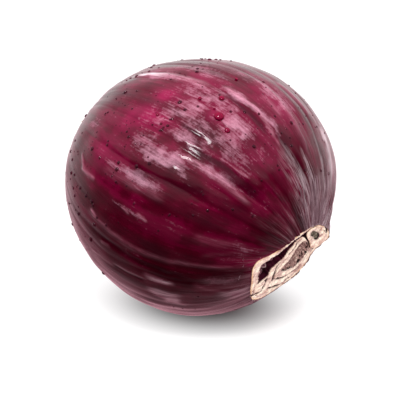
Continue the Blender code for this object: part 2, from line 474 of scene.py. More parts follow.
def relief(longitude, latitude):
    """How far the skin stands above the plain bulb, in millimetres."""
    arch, depth = rib_arch(longitude, latitude)
    towards_root = smooth_step((latitude + 88) / 40)
    towards_neck = smooth_step((86 - latitude) / 30)
    strength = towards_root * (0.45 + 0.55 * towards_neck)
    uneven = 1 + 0.9 * soft_noise(longitude, latitude, 30, 8, 5)
    # The ribs are fainter about longitude 66, to the right of the front
    calm = 1 - 0.6 * np.exp(-(((longitude - 66) / 24) ** 4))
    ribs = RIB_HEIGHT * (arch - 0.55) * depth * strength * uneven * calm
    # High on the front the drying skin is finely crinkled, which breaks up the gleam there
    crinkled = np.exp(-(((longitude + 17) / 9) ** 2) - ((latitude - 7) / 12) ** 2)
    crinkles = 0.06 * crinkled * soft_noise(longitude, latitude, 300, 60, 12)
    near_neck = smooth_step((latitude - 46) / 22)
    gathered = np.clip(0.65 + 1.6 * soft_noise(longitude, latitude, 14, 8, 13), 0.1, 1.3)
    pleats = wrinkles_at(PLEATS, longitude, latitude) * gathered * near_neck
    return ribs + wrinkles_at(WRINKLES, longitude, latitude) + crinkles + pleats + creases(longitude, latitude)[0]


print(len(CREASES), "single creases")

# %% [markdown]
# ## The skin
# The skin is one grid of points laid out by longitude and latitude, which is how the ribs themselves run,
# so every groove lines up with the mesh. Rows go from the root end to the neck's rim, over the skin's cut
# edge, and down the inside of the neck to close there. A few broad swells and hollows make its outline
# uneven, as a grown one is, and the lowest part is pressed flat where it rests.

# %% Skin points
COLUMNS = 620
SKIN_ROWS = 148
ROOT_START = -89.0
DRAWN_IN = 0.017  # the stretch of skin that reaches out or draws in to the rim
DIMPLE_DEPTH = 0.0016
PRESSED = 0.0004  # skin this close to the table eases into the resting spot
UNSWOLLEN = 0.022  # the swells die out over this distance from the middle of the cut


def rim_latitudes(longitude):
    """The latitude at which each column of the plain bulb meets the cut, found by halving."""
    below, beyond = np.zeros_like(longitude), np.full_like(longitude, 90.0)
    for _ in range(40):
        middle = (below + beyond) / 2
        past = plain_bulb(middle, longitude) @ CUT_NORMAL > CUT_DISTANCE
        beyond = np.where(past, middle, beyond)
        below = np.where(past, below, middle)
    return below


# No bulb is quite round. Seen from the front: the direction in degrees, how wide, and the share it swells by
SWELLS = [(97, 26, -0.024), (8, 14, 0.012), (-13, 9, -0.014), (172, 22, 0.007), (-35, 12, 0.008)]


def swelling(points):
    """The share by which the bulb bulges or falls short, most of all at its outline."""
    level, upward = points @ np.array(camera_right), points @ np.array(camera_up)
    direction = np.degrees(np.arctan2(upward, level))
    out = np.clip(np.hypot(level, upward) / (BULB_ACROSS / 2), 0, 1)
    bulge = np.zeros_like(level)
    for middle, wide, share in SWELLS:
        off = angle_off(direction, middle)
        bulge += share * np.exp(-((off / wide) ** 2))
    neckward = np.clip(1 - np.linalg.norm(points - CUT_MIDDLE, axis=-1) / UNSWOLLEN, 0, 1)
    return bulge * out**2 * (1 - neckward)


longitudes = np.arange(COLUMNS) / COLUMNS * 360.0 - 180.0
rims = rim_latitudes(longitudes)
steps = np.linspace(0, 1, SKIN_ROWS)[:, None]
latitude_grid = ROOT_START + (rims[None, :] - ROOT_START) * steps
longitude_grid = np.broadcast_to(longitudes, latitude_grid.shape)
skin = plain_bulb(latitude_grid, longitude_grid)
outward = skin / np.linalg.norm(skin, axis=-1, keepdims=True)
skin = skin + outward * (relief(longitude_grid, latitude_grid) * MM)[..., None]
skin = skin * (1 + swelling(skin))[..., None]

plain_rim = plain_bulb(rims, longitudes)
from_middle = plain_rim - CUT_MIDDLE
reach, height = rim_reach(np.arctan2(from_middle @ CUT_UPWARD, from_middle @ CUT_LEVEL))
along = from_middle / np.linalg.norm(from_middle, axis=-1, keepdims=True)
wanted_rim = CUT_MIDDLE + along * reach[:, None] + height[:, None] * CUT_NORMAL
distance_to_rim = np.linalg.norm(skin - skin[-1], axis=-1)
drawn = np.clip(1 - distance_to_rim / DRAWN_IN, 0, 1) ** 1.6
skin = skin + drawn[..., None] * (wanted_rim - plain_rim)
skin = skin + (np.exp(-(((90 + latitude_grid) / 15.0) ** 2)) * DIMPLE_DEPTH)[..., None] * AXIS
clear = skin[..., 2] - FLOOR
skin[..., 2] = FLOOR + PRESSED * np.logaddexp(0, clear / PRESSED)
print("the rim is", round(float(reach.min() / MM), 1), "to", round(float(reach.max() / MM), 1), "mm from its middle")

# %% Skin mesh
POCKET_DEPTH = 6.0  # the hollow inside the neck, in millimetres
# Over the skin's cut edge and down its inside: steps inward and outward, in millimetres
EDGE_STEPS = [(0.05, 0.05), (0.13, 0.06), (0.20, 0.0), (0.28, -0.4), (0.5, -2.5), (1.5, -POCKET_DEPTH)]
rim = skin[-1]
rim_middle = rim.mean(axis=0)
inward = rim_middle - rim
inward /= np.linalg.norm(inward, axis=-1, keepdims=True)
edge_rows = [rim + inward * step_in * MM + CUT_NORMAL * step_out * MM for step_in, step_out in EDGE_STEPS]
pocket_middle = rim_middle - CUT_NORMAL * POCKET_DEPTH * MM
pocket_edge = edge_rows[-1]
edge_rows += [pocket_middle + (pocket_edge - pocket_middle) * share for share in (0.8, 0.5, 0.2)]
skin_mesh = rings_mesh("bulb_skin", np.concatenate([skin, np.array(edge_rows)]) + BULB_CENTRE)
bulb_skin = new_object("bulb_skin", skin_mesh)
print("the skin has", triangles(skin_mesh), "triangles")

# %% [markdown]
# ## What the skin's finish needs to know
# The finish changes with place: pale on the crests and raised creases, with bloom and painted highlight,
# and painted darker as shade in the sunken creases; dry and fibrous near the neck, corky near the root,
# dull in patches where the water has drawn away, and paled there with painted sheen; redder where the sap
# shows through; and pale where a film of the dry outer skin still clings, right of the front with painted
# sheen too. These are stored on the mesh's points, with the grain, which is a copy of the surface
# stretched so that noise in it runs along the ribs.

# %% Skin attributes
# Patches of dull skin, paled with painted sheen: longitude, latitude, half sizes in degrees, and how dull
DULL_AND_SHEEN_PATCHES = [
    (-32, 17, 5, 8, 1.0), (-36, -2, 7, 14, 0.6), (-2, 0, 5, 12, 1.1), (9, -5, 3, 9, 1.1), (-22, -7, 4, 6, 0.6),
    (-14, 3, 4, 9, 0.9), (-8, 20, 3.5, 16, 0.7), (51, 19, 1.6, 5, 0.8), (64, 22, 5, 6, 0.9), (74, 20, 2.5, 9, 0.8),
    (62, 51, 4, 6, 0.8), (72, 0, 4, 10, 0.7), (20, 52, 3, 7, 0.4), (46, 46, 4, 9, 0.4), (-45, 8, 3, 10, 0.8),
    (-46, 20, 2, 12, 0.8), (-60, 10, 7, 22, 0.5), (-52, -16, 7, 16, 0.5), (-40, -30, 4, 16, 0.5), (10, -18, 2, 8, 0.5),
    (-22, 8, 13, 26, 0.5), (-5, -12, 5, 6, 0.6), (0, -42, 4, 5, 0.5), (23, -3, 1.2, 9, 0.6),
]  # fmt: skip
# Places where a film of the dry outer skin still clings, which right of the front is painted sheen as well:
# longitude, latitude, half sizes and how much of it
FILMS_AND_SHEEN = [
    (50.5, 19, 1.0, 5, 0.8), (59.5, 21, 1.8, 6.5, 0.8), (63.5, 24.5, 3.4, 3.2, 0.8), (60, 51, 3.5, 6, 0.5),
    (71, -1, 4.0, 7, 0.7), (74.5, 19, 2.0, 9, 0.8), (68, 54, 2.0, 6, 0.5), (46.5, 44, 2.4, 7, 0.12),
    (-41, -37, 1.8, 9, 0.5), (-88, 46, 4.0, 14, 0.5), (66, -26, 5.0, 7, 0.3), (82, 8, 2.5, 12, 0.5),
]  # fmt: skip
DULL_BEHIND = 0.55  # how dull the cloudy skin is at the back
DRY_REACH = 0.024  # the dry fibres reach about this far from the rim
FLUSHED_EDGE = 0.0014  # sap has run this far along the cut's upper edge
GRAIN_SQUEEZE = 0.12  # the grain is this much shorter along the bulb, so noise in it makes long streaks


def stored(name, grid, fill):
    """Stores a value for every skin point: the grid's own, then fill for the neck's inside and the poles."""
    values = np.concatenate([grid.ravel(), np.full(len(edge_rows) * COLUMNS + 2, fill)])
    keep_values(skin_mesh, name, values)


def dull_and_sheen_patches(longitude, latitude):
    dull_and_sheen = np.zeros_like(latitude)
    for lon, lat, half_lon, half_lat, strength in DULL_AND_SHEEN_PATCHES:
        off = angle_off(longitude, lon) + 0.5 * half_lon * soft_noise(longitude, latitude, 60, 60, 32)
        # Each patch ends sharply on its lower side, where the painted sheen's gleam stops
        upper, lower = np.minimum(off, 0) / half_lon, np.maximum(off, 0) / half_lon * 2.2
        spot = np.exp(-(upper**2) - lower**2 - np.abs((latitude - lat) / half_lat) ** 3)
        dull_and_sheen = np.maximum(dull_and_sheen, strength * spot)
    elsewhere = 0.5 + 0.5 * soft_noise(longitude, latitude, 26, 14, 31)
    behind = smooth_step((np.abs(angle_off(longitude, 0)) - 80) / 30)
    return np.maximum(dull_and_sheen, DULL_BEHIND * elsewhere * behind)


# Places where the sap shines through more brightly: longitude, latitude, half sizes and how much
FLUSHES = [
    (-29, -18, 4, 5, 1.0), (-17, -14, 4, 9, 1.0), (-47, -12, 4, 6, 0.7), (-31, 6, 4, 5, 0.8), (-12, -22, 7, 7, 0.6),
    (10, -26, 7, 8, 0.6), (-58, 20, 6, 12, 0.5), (-27, 28, 6, 8, 0.4), (2, 34, 10, 12, 0.15), (-36, 46, 6, 8, 0.5),
    (35, 60, 5, 3.5, 1.0),
]  # fmt: skip


def flushes(longitude, latitude):
    flush = np.zeros_like(latitude)
    for lon, lat, half_lon, half_lat, strength in FLUSHES:
        off = angle_off(longitude, lon)
        flush += strength * np.exp(-((off / half_lon) ** 2) - ((latitude - lat) / half_lat) ** 2)
    return np.clip(flush * (1 + 0.5 * soft_noise(longitude, latitude, 70, 50, 33)), 0, 1)


def films_and_sheen(longitude, latitude):
    film_and_sheen = np.zeros_like(latitude)
    for lon, lat, half_lon, half_lat, strength in FILMS_AND_SHEEN:
        off = angle_off(longitude, lon) + 0.4 * half_lon * soft_noise(longitude, latitude, 90, 60, 34)
        film_and_sheen = np.maximum(film_and_sheen, strength * np.exp(-((off / half_lon) ** 4) - ((latitude - lat) / half_lat) ** 4))
    return film_and_sheen


turn_grid = np.radians(longitude_grid)
grain = np.stack([
    np.cos(turn_grid) * BULB_ACROSS / 2 / MM,
    np.sin(turn_grid) * BULB_ACROSS / 2 / MM,
    np.radians(latitude_grid) * BULB_ACROSS / 2 / MM * GRAIN_SQUEEZE,
], -1).reshape(-1, 3)  # fmt: skip
grain = np.concatenate([grain, np.zeros((len(edge_rows) * COLUMNS + 2, 3))]).astype(np.float32)
skin_mesh.attributes.new("grain", "FLOAT_VECTOR", "POINT").data.foreach_set("vector", grain.ravel())
stored("crest", rib_arch(longitude_grid, latitude_grid)[0], 0.5)
stored("pale", np.clip(creases(longitude_grid, latitude_grid)[1], -1, 1), 0.0)
stored("dull_and_sheen", dull_and_sheen_patches(longitude_grid, latitude_grid), 0.0)
along_cut = np.exp(-((distance_to_rim / FLUSHED_EDGE) ** 2)) * np.exp(-(((longitude_grid - 22) / 24) ** 2))
stored("flush", np.maximum(flushes(longitude_grid, latitude_grid), along_cut), 0.0)
dry_by_side = [(-180, 0.6), (-125, 0.7), (-100, 1.0), (-50, 0.95), (-25, 0.12), (60, 0.08), (100, 0.5), (180, 0.6)]
dry_side = np.interp(longitudes, *zip(*dry_by_side))
dry_reach = DRY_REACH * (1 + 0.5 * soft_noise(longitude_grid, latitude_grid, 80, 5, 35))
stored("neck", np.clip(1 - distance_to_rim / dry_reach, 0, 1) * dry_side, 1.0)
stored("film_and_sheen", films_and_sheen(longitude_grid, latitude_grid), 0.0)
stored("root", smooth_step((-66 - latitude_grid) / 20), 0.0)
print("attributes:", [a.name for a in skin_mesh.attributes if not a.name.startswith(".")])

# %% [markdown]
# ## The skin's finish: wet onion scale
# Red onion scale is a thin glassy cell layer full of purple-red sap over white tissue. Dry, it has a faint
# waxy bloom. Wet, it is glossy. So the base is a deep maroon that goes magenta in flushes, greyed with
# bloom and painted highlight on the crests and raised creases, painted darker as shade in the sunken
# creases, and paled by streaks of clinging film and by painted sheen in the dull patches. A coat with
# water's refraction lies over it, thin in the dull patches, where fine wrinkles break up the gloss.

# %% Skin colour
skin_material, tree = blank_material("wet_onion_scale")
MAP, MATH, MIX, NOISE = "ShaderNodeMapRange", "ShaderNodeMath", "ShaderNodeMix", "ShaderNodeTexNoise"
grain, crest, pale, dull_and_sheen, flush, film_and_sheen, neck, root = (
    add_node(tree, "ShaderNodeAttribute", take="Vector" if name == "grain" else "Fac", attribute_name=name)
    for name in ("grain", "crest", "pale", "dull_and_sheen", "flush", "film_and_sheen", "neck", "root")
)
place = add_node(tree, "ShaderNodeTexCoord", take="Object")
# Streaks of sap some 4 mm wide, fine ones under 1 mm, clumps of skin cells of 1 mm and clouds of 8 mm
streaks = add_node(tree, NOISE, {"Vector": grain, "Scale": 0.16, "Detail": 4.0, "Roughness": 0.6}, "Fac")
fine_streaks = add_node(tree, NOISE, {"Vector": grain, "Scale": 1.3, "Detail": 4.0, "Roughness": 0.6}, "Fac")
mottle = add_node(tree, NOISE, {"Vector": place, "Scale": 1100.0, "Detail": 5.0, "Roughness": 0.7}, "Fac")
clouds = add_node(tree, NOISE, {"Vector": place, "Scale": 130.0, "Detail": 4.0, "Roughness": 0.55}, "Fac")

thin = add_node(tree, MATH, {0: clouds, 1: 0.8, 2: streaks}, 0, operation="MULTIPLY_ADD")
sap = ((0.66, "#33000e"), (1.0, "#5a0023"), (0.88, "#460016"))
sap = add_node(tree, "ShaderNodeValToRGB", {"Fac": thin}, "Color", stops=sap)

flushed = add_node(tree, MATH, {0: flush, 1: 0.5}, 0, operation="MULTIPLY")
sap_colour = add_node(tree, MIX, {0: flushed, 6: sap, 7: linear("#8e0a44")}, 2, data_type="RGBA")
# Crests and raised creases are paler: waxy bloom, and painted highlight along the ridges
crest_bloom_and_highlight = add_node(tree, MAP, {"Value": crest, "From Min": 0.4, "To Max": 0.02}, 0)
on_pale = add_node(tree, MATH, {0: pale, 1: 0.45, 2: crest_bloom_and_highlight}, 0, operation="MULTIPLY_ADD")
middling = {"From Min": 0.3, "From Max": 0.7}  # where most of a noise's values lie
streaky = add_node(tree, MAP, {"Value": fine_streaks, **middling, "To Min": 0.3, "To Max": 1.5}, 0)
bloom_and_highlight = add_node(tree, MATH, {0: on_pale, 1: streaky}, 0, operation="MULTIPLY", use_clamp=True)
colour = add_node(tree, MIX, {0: bloom_and_highlight, 6: sap_colour, 7: linear("#b5788a")}, 2, data_type="RGBA")

patchy = dull_and_sheen
for noise, sway in ((clouds, 0.2), (mottle, 0.22), (fine_streaks, 0.26)):
    uneven = add_node(tree, MAP, {"Value": noise, **middling, "To Min": -sway, "To Max": sway}, 0)
    patchy = add_node(tree, MATH, {0: patchy, 1: uneven}, 0, operation="ADD")
dull_and_sheen_share = add_node(tree, MAP, {"Value": patchy, "From Min": 0.25, "From Max": 1.15}, 0)
# The dull patches are also paler: painted sheen where the gleam falls on them
painted_sheen = add_node(tree, MATH, {0: dull_and_sheen_share, 1: 0.5}, 0, operation="MULTIPLY")
colour = add_node(tree, MIX, {0: painted_sheen, 6: colour, 7: linear("#d69fb4")}, 2, data_type="RGBA")
# Sunken creases are darker: painted shade in the grooves
painted_groove_shade = add_node(tree, MATH, {0: pale, 1: -0.7}, 0, operation="MULTIPLY", use_clamp=True)
colour = add_node(tree, MIX, {0: painted_groove_shade, 6: colour, 7: linear("#26000c")}, 2, data_type="RGBA")
# Film streaks are pale: clinging dry skin, and right of the front painted sheen as well
pale_film_and_sheen = add_node(tree, MATH, {0: film_and_sheen, 1: streaky}, 0, operation="MULTIPLY", use_clamp=True)
colour = add_node(tree, MIX, {0: pale_film_and_sheen, 6: colour, 7: linear("#eadde2")}, 2, data_type="RGBA")
near_neck = add_node(tree, MAP, {"Value": neck, "From Min": 0.04, "From Max": 0.85}, 0)
threads = add_node(tree, MAP, {"Value": fine_streaks, "From Min": 0.42, "From Max": 0.62}, 0)
dry = add_node(tree, MATH, {0: near_neck, 1: threads}, 0, operation="MULTIPLY")
colour = add_node(tree, MIX, {0: dry, 6: colour, 7: linear("#d2c0c6")}, 2, data_type="RGBA")
colour = add_node(tree, MIX, {0: root, 6: colour, 7: linear("#8b5a44")}, 2, data_type="RGBA")
print("the skin's colour takes", len(tree.nodes), "nodes")

# %% Skin gloss
roughness = add_node(tree, MAP, {"Value": dull_and_sheen_share, "To Min": 0.30, "To Max": 0.50}, 0)
wet = add_node(tree, MAP, {"Value": dull_and_sheen_share, "To Min": 1.0, "To Max": 0.35}, 0)
undried = add_node(tree, MAP, {"Value": dry, "To Min": 1.0, "To Max": 0.1}, 0)
wet = add_node(tree, MATH, {0: wet, 1: undried}, 0, operation="MULTIPLY")
wrinkled = add_node(tree, MAP, {"Value": dull_and_sheen_share, "To Min": 0.12, "To Max": 1.0}, 0)
broken = add_node(tree, MATH, {0: mottle, 1: wrinkled}, 0, operation="MULTIPLY")
height = add_node(tree, MATH, {0: fine_streaks, 1: 0.5, 2: broken}, 0, operation="MULTIPLY_ADD")
ripple = add_node(tree, "ShaderNodeBump", {"Height": height, "Distance": 0.00025, "Strength": 0.6}, "Normal")
wet_skin = {
    "Base Color": colour, "Roughness": roughness, "Normal": ripple,
    "Specular IOR Level": 0.05, "Coat Weight": wet, "Coat Roughness": 0.07, "Coat IOR": 1.33,
}  # fmt: skip
surface = add_node(tree, "ShaderNodeBsdfPrincipled", wet_skin, "BSDF")
add_node(tree, "ShaderNodeOutputMaterial", {"Surface": surface})
skin_mesh.materials.append(skin_material)
print("the skin's material has", len(tree.nodes), "nodes")

# %% [markdown]
# ## The cut leaf bases
# Each fleshy scale ends at the cut as a closed loop of cream flesh: the outermost one is the thickest, with
# a gap inside it that has opened as the neck dried. The next ones lie bundled against the lower side, and
# a small second shoot is squeezed in at the upper side. Each loop is drawn by its outer and inner outlines
# on the cut's plane, made ragged where the flesh has shrunk and torn. Slits part one leaf base from the
# next: they are drawn as lines, and the loops' tops sink along them.

# %% Outlines of the leaf bases
OUTER_SCALE_INSIDE = [
    (16.0, 5.6, 0.1), (13.0, 8.8, 0.1), (8.5, 11.6, 0.0), (3.0, 12.9, 0.0), (-3.2, 10.8, 0.0), (-6.2, 8.9, 0.0),
    (-9.6, 7.6, 0.0), (-13.4, 6.6, -0.2), (-15.3, 5.2, -0.3), (-13.9, 1.4, -0.2), (-12.2, -2.2, 0.0),
    (-9.6, -6.8, 0.0), (-4.5, -10.6, 0.0), (2.5, -11.0, 0.0), (7.5, -10.0, 0.0), (11.6, -7.8, 0.0),
    (13.4, -4.4, 0.0), (13.2, -1.0, 0.0), (15.0, 2.2, 0.1),
]  # fmt: skip
SECOND_SCALE = [
    (9.0, 3.4, 0.4), (6.6, 6.4, 0.4), (3.4, 9.2, 0.4), (0.2, 11.2, 0.4), (-2.6, 10.2, 0.4), (-3.8, 7.8, 0.4),
    (-4.4, 5.2, 0.4), (-6.0, 3.2, 0.3), (-8.2, 1.4, 0.2), (-7.4, -1.4, 0.2), (-9.6, -3.0, 0.1), (-12.2, -5.0, 0.1),
    (-9.4, -8.6, 0.1), (-4.2, -11.6, 0.1), (2.4, -11.7, 0.1), (8.0, -10.7, 0.1), (12.2, -8.4, 0.1),
    (14.0, -4.4, 0.2), (13.6, -0.6, 0.3), (11.8, 2.0, 0.4),
]  # fmt: skip
SECOND_SCALE_INSIDE = [
    (8.0, 4.6, 0.4), (4.6, 8.3, 0.4), (1.8, 9.2, 0.4), (-0.3, 8.3, 0.4), (-1.4, 5.6, 0.4), (-2.6, 2.4, 0.3),
    (-3.6, -0.4, 0.2), (-3.2, -3.3, 0.2), (-1.6, -6.0, 0.1), (1.6, -7.0, 0.1), (5.2, -7.7, 0.1), (9.4, -6.8, 0.1),
    (11.4, -3.8, 0.2), (11.2, 0.2, 0.3), (10.0, 2.6, 0.4),
]  # fmt: skip
THIRD_SCALE_INSIDE = [
    (9.4, 2.8, 0.2), (6.4, 6.4, 0.2), (3.2, 8.2, 0.2), (1.7, 7.4, 0.2), (1.3, 4.8, 0.1), (1.7, 2.4, 0.0),
    (1.0, 0.2, 0.0), (-0.2, -1.6, 0.0), (0.6, -3.6, 0.0), (3.6, -4.6, 0.0), (7.4, -5.0, 0.0), (9.8, -3.6, 0.0),
    (10.6, -1.4, 0.1), (10.3, 1.0, 0.2),
]  # fmt: skip
SECOND_SHOOT = [
    (16.6, 3.4, 0.5), (15.8, 6.2, 0.4), (12.6, 9.2, 0.4), (9.2, 11.6, 0.4), (5.6, 13.2, 0.4), (2.6, 13.2, 0.4),
    (2.2, 11.6, 0.4), (4.4, 9.2, 0.4), (7.4, 6.4, 0.4), (9.9, 3.6, 0.4), (12.2, 1.6, 0.4), (14.8, 1.4, 0.5),
]  # fmt: skip
SECOND_SHOOT_INSIDE = [
    (13.2, 5.4, 0.2), (12.2, 7.4, 0.2), (10.2, 9.2, 0.2), (7.6, 10.6, 0.2), (5.2, 11.6, 0.2), (5.4, 10.2, 0.2),
    (6.8, 8.9, 0.2), (8.5, 7.6, 0.2), (10.4, 6.2, 0.2), (12.0, 5.0, 0.2),
]  # fmt: skip
# Slits where one leaf base parts from the next, level and upward in millimetres
SLITS = [
    [(-7.0, -3.4), (-6.5, -5.0), (-6.2, -6.8), (-6.1, -9.0)], [(-2.1, -6.4), (-3.7, -3.1), (-5.2, 0.6), (-4.6, 2.8)],
    [(0.4, -6.6), (1.6, -7.1), (4.7, -7.9), (7.6, -7.5), (11.0, -6.2)], [(-12.5, -8.2), (-9.5, -9.6), (-7.0, -9.2)],
    [(-2.6, -9.6), (3.9, -11.2), (8.3, -10.2), (12.0, -8.6)], [(-9.0, -4.0), (-7.6, -3.2), (-6.6, -4.4)],
    [(12.6, 11.0), (15.2, 8.8), (16.8, 6.4)], [(-2.2, 5.0), (-1.4, 7.4), (-0.4, 9.6)],
]  # fmt: skip
SLIT_HALF_WIDTH = 0.35
SLIT_DEPTH = 0.9
LOOP_POINTS = 260
LOOP_DEPTH = 4.5


def ragged(count, seed, size):
    """A closed run of uneven offsets in millimetres, with waves from half a turn down to a few points."""
    pick = np.random.default_rng(seed)
    turn = np.arange(count) / count * 2 * math.pi
    waves = [np.sin(turn * often + pick.uniform(0, 6.28)) * pick.uniform(0.4, 1.0) for often in (3, 7, 13, 23, 37, 61)]
    return size * (sum(waves) / 2 + pick.normal(0, 0.35, count))


def slit_depth(points):
    """How far into a slit each point of the cut lies, from 0 to 1."""
    sunk = np.zeros(len(points))
    for line in SLITS:
        for a, b in zip(np.array(line), np.array(line[1:])):
            share = np.clip(((points[:, :2] - a) @ (b - a)) / ((b - a) @ (b - a)), 0, 1)
            off = np.linalg.norm(points[:, :2] - a - share[:, None] * (b - a), axis=1)
            sunk = np.maximum(sunk, np.exp(-((off / SLIT_HALF_WIDTH) ** 2)))
    return sunk


def leaf_base(name, outer, inner, seed, tanned, torn=0.10, inset=0.0, jagged=(0.0, 0.0)):
    """A closed loop of flesh between two outlines, with slits in its rounded and slightly torn top."""
    outside, inside = closed_curve(outer, LOOP_POINTS), closed_curve(inner, LOOP_POINTS)
    width = inside - outside
    away = width / np.linalg.norm(width[:, :2], axis=1, keepdims=True) * [1, 1, 0]
    outside = outside + away * (inset + ragged(LOOP_POINTS, seed + 20, jagged[0]))[:, None]
    inside = inside + away * ragged(LOOP_POINTS, seed + 30, jagged[1])[:, None]
    noise = np.random.default_rng(seed)
    top = [(share, 0.0) for share in np.linspace(0.06, 0.94, 17)]
    down = ((1.0, 0.12), (1.0, 0.35), (1.0, 1.5), (1.0, LOOP_DEPTH))
    profile = [(0.0, drop) for _, drop in reversed(down)] + top + list(down)
    swell = ragged(LOOP_POINTS, seed + 40, 0.12)
    rows, depths = [], []
    for share, drop in profile:
        row = outside + (inside - outside) * share
        sunk = slit_depth(row) if drop < 0.3 else np.zeros(LOOP_POINTS)
        rough = noise.normal(0, 1, LOOP_POINTS)
        rough = (rough + np.roll(rough, 1) + np.roll(rough, -1)) / 3
        uneven = torn * rough + swell * math.sin(math.pi * share) if drop < 0.3 else 0
        row[:, 2] += -drop + uneven - SLIT_DEPTH * sunk
        rows.append(row)
        depths.append(sunk)
    mesh = rings_mesh(name, on_cut(np.array(rows)) + BULB_CENTRE, wrapped=True)
    across = np.repeat([share for share, _ in profile], LOOP_POINTS)
    deep = np.repeat([min(1.0, drop * 3) for _, drop in profile], LOOP_POINTS)
    tan = tanned * np.clip(1 - across / 0.3, 0, 1)
    for label, values in (("across", across), ("deep", deep), ("slit", np.concatenate(depths)), ("tanned", tan)):
        keep_values(mesh, label, values)
    return new_object(name, mesh)


outer_scale = leaf_base("outer_scale_cut", RIM, OUTER_SCALE_INSIDE, 41, 0.75, inset=0.22, jagged=(0.0, 0.46))
second_scale = leaf_base("second_scale_cut", SECOND_SCALE, SECOND_SCALE_INSIDE, 42, 0.15, jagged=(0.42, 0.12))
third_scale = leaf_base(
    "third_scale_cut", SECOND_SCALE_INSIDE, THIRD_SCALE_INSIDE, 43, 0.1, inset=0.2, jagged=(0.12, 0.34)
)
second_shoot = leaf_base(
    "second_shoot_cut", SECOND_SHOOT, SECOND_SHOOT_INSIDE, 44, 0.35, torn=0.08, jagged=(0.1, 0.22)
)
leaf_bases = [outer_scale, second_scale, third_scale, second_shoot]
print("cut leaf bases:", [piece.name for piece in leaf_bases])

# %% [markdown]
# ## The flesh's finish
# Cut onion flesh that has dried for days is matt and cream, with a little pink-brown where the red sap has
# run, a tan outermost edge and fine veins across it. Down its outer side it is red like the skin, and its
# inner side and the slits are painted dark as shade.

# %% Flesh material
flesh, tree = blank_material("dried_onion_flesh")
across, deep, slit, tanned = (
    add_node(tree, "ShaderNodeAttribute", take="Fac", attribute_name=name)
    for name in ("across", "deep", "slit", "tanned")
)
place = add_node(tree, "ShaderNodeTexCoord", take="Object")
# Blotches of sap some 3 mm wide and a fleck of fibres of 0.5 mm
blotches = add_node(tree, NOISE, {"Vector": place, "Scale": 330.0, "Detail": 4.0, "Roughness": 0.6}, "Fac")
flecks = add_node(tree, NOISE, {"Vector": place, "Scale": 2200.0, "Detail": 4.0, "Roughness": 0.7}, "Fac")
cream = ((0.34, "#9c7a72"), (0.66, "#f4ead6"), (0.44, "#cdb2a6"), (0.54, "#e4d4c2"))
cream = add_node(tree, "ShaderNodeValToRGB", {"Fac": blotches}, "Color", stops=cream)
colour = add_node(tree, MIX, {0: tanned, 6: cream, 7: linear("#d8a66c")}, 2, data_type="RGBA")
inner_edge = add_node(tree, MAP, {"Value": across, "From Min": 0.8, "From Max": 1.0, "To Max": 0.4}, 0)
colour = add_node(tree, MIX, {0: inner_edge, 6: colour, 7: linear("#ab8286")}, 2, data_type="RGBA")
fleck = add_node(tree, MAP, {"Value": flecks, "From Min": 0.32, "From Max": 0.52, "To Min": 0.6, "To Max": 0.0}, 0)
colour = add_node(tree, MIX, {0: fleck, 6: colour, 7: linear("#6e4a44")}, 2, data_type="RGBA")
# Down the walls: red skin on the outer side, painted shade on the inner side
red_and_shaded_sides = ((0.3, "#40061f"), (0.7, "#231a1b"))
red_and_shaded_sides = add_node(tree, "ShaderNodeValToRGB", {"Fac": across}, "Color", stops=red_and_shaded_sides)
colour = add_node(tree, MIX, {0: deep, 6: colour, 7: red_and_shaded_sides}, 2, data_type="RGBA")
# The slits are painted dark: painted shade
painted_slit_shade = add_node(tree, MAP, {"Value": slit, "From Min": 0.1, "From Max": 0.45}, 0)
colour = add_node(tree, MIX, {0: painted_slit_shade, 6: colour, 7: linear("#2b1517")}, 2, data_type="RGBA")
torn = add_node(tree, "ShaderNodeBump", {"Height": flecks, "Distance": 0.0003, "Strength": 0.7}, "Normal")
surface = add_node(tree, "ShaderNodeBsdfPrincipled", {"Base Color": colour, "Roughness": 0.7, "Normal": torn}, "BSDF")
add_node(tree, "ShaderNodeOutputMaterial", {"Surface": surface})
for piece in leaf_bases:
    piece.data.materials.append(flesh)
print("the flesh has", len(tree.nodes), "nodes")

# %% [markdown]
# ## The dried heart
# Inside the loops the innermost leaves have withered to brown-grey paper, crumpled into each other a little
# below the cut. Floors of the same stuff close the bundle, the second shoot and the gap, each in its own
# colours, and the bundle's floor is a darker copy of the leaves: painted shade where it sinks. Crumpled
# loops stand in the bundle. Geometry Nodes make the loops: each is a shrunken copy of the heart's outline,
# pushed about by noise, and given a thin wall.

# %% Heart floor
HEART_DROP = 1.7
FLOOR_POINTS = 120


def heart_floor(name, outline, drop, seed, rise=0.25):
    """A closed lumpy disc that fills an outline below the cut."""
    edge = closed_curve(outline, FLOOR_POINTS)
    middle = edge.mean(axis=0)
    noise = np.random.default_rng(seed)
    rows = [middle + (edge - middle) * 1.06 - [0, 0, LOOP_DEPTH]]
    for share in (1.06, 0.92, 0.78, 0.64, 0.5, 0.36, 0.22, 0.1):
        row = middle + (edge - middle) * share
        bumps = noise.normal(0, 1, FLOOR_POINTS)
        row[:, 2] += rise * (bumps + np.roll(bumps, 1) + np.roll(bumps, 2)) / 2 - drop
        rows.append(row)
    return new_object(name, rings_mesh(name, on_cut(np.array(rows)) + BULB_CENTRE))


heart = heart_floor("dried_heart", THIRD_SCALE_INSIDE, HEART_DROP, 51)
shoot_heart = heart_floor("second_shoot_heart", SECOND_SHOOT_INSIDE, 0.8, 52, rise=0.2)
gap_floor = heart_floor("neck_hollow", OUTER_SCALE_INSIDE, 2.2, 53, rise=0.45)

